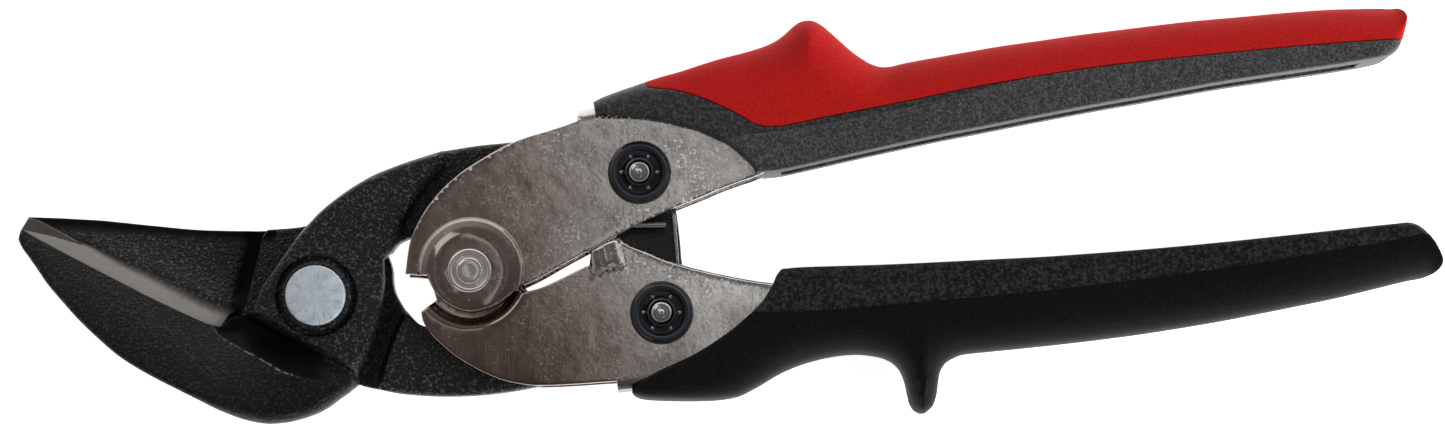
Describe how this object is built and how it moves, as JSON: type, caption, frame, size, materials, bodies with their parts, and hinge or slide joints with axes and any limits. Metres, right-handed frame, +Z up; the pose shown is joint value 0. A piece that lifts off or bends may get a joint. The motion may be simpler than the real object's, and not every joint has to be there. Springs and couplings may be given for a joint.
{
  "type": "aviation snips",
  "caption": "Compound-leverage sheet metal shears with an offset jaw, plated link handles, a thumb-hump upper grip, a finger-spur lower grip, an opening spring and a latch.",
  "frame": {"origin": "on the jaw pivot axis, in the plane the tool lies on, at the end face of the jaw pivot bolt", "axes": "+X from the jaws towards the grips, +Y towards the upper grip, +Z up along the pivot axes, out of the resting plane"},
  "size_m": [0.259, 0.0759, 0.021],
  "materials": {
    "coat": "forging with a fine-grained black coat",
    "nickel": "bright nickel-plated sheet",
    "zinc": "blue-white zinc plate",
    "dark_steel": "plain steel, darkened",
    "black_oxide": "glossy black oxide",
    "bronze": "sintered bush",
    "wire": "drawn spring wire",
    "hard_plastic": "grained hard plastic",
    "soft_red": "matte soft skin",
    "soft_black": "satin soft skin"
  },
  "bodies": {
    "front_blade": {"front_blade": "coat", "pivot_bolt": "zinc", "pivot_washer_front": "dark_steel", "pivot_washer_back": "zinc", "pivot_nut": "zinc"},
    "rear_blade": {"rear_blade": "coat"},
    "upper_handle": {"upper_handle_frame": "nickel", "upper_grip_core": "hard_plastic", "upper_grip_overmould": "soft_red", "upper_link_pin": "dark_steel", "upper_link_retainer": "black_oxide", "upper_link_spacer": "zinc", "handle_pivot_rivet": "nickel", "handle_pivot_bush": "bronze", "opening_spring_upper": "wire", "latch_spring": "wire"},
    "latch": {"latch": "black_oxide"},
    "lower_handle": {"lower_handle_frame": "nickel", "lower_grip_core": "hard_plastic", "lower_grip_overmould": "soft_black", "lower_link_pin": "dark_steel", "lower_link_retainer": "black_oxide", "lower_link_spacer_front": "zinc", "lower_link_spacer_back": "zinc", "opening_spring_lower": "wire", "latch_catch_pin": "dark_steel"}
  },
  "joints": [
    {"name": "jaw_pivot", "type": "hinge", "parent": "front_blade", "child": "rear_blade", "pos_m": [0, 0, 0.0105], "axis": [0, 0, -1], "range_deg": [0, 14.48]},
    {"name": "upper_link", "type": "hinge", "parent": "front_blade", "child": "upper_handle", "pos_m": [0.05866, 0.02241, 0.0105], "axis": [0, 0, 1], "range_deg": [0, 6.8]},
    {"name": "lower_link", "type": "hinge", "parent": "rear_blade", "child": "lower_handle", "pos_m": [0.06272, -0.00308, 0.0105], "axis": [0, 0, -1], "range_deg": [0, 6.8]},
    {"name": "latch_pivot", "type": "hinge", "parent": "upper_handle", "child": "latch", "pos_m": [0.05866, 0.02241, 0.0105], "axis": [0, 0, 1], "range_deg": [0, 9]}
  ],
  "couplings": [
    {"joint": "upper_link", "follows": "jaw_pivot", "ratio": 0.4669},
    {"joint": "lower_link", "follows": "jaw_pivot", "ratio": 0.4669}
  ]
}
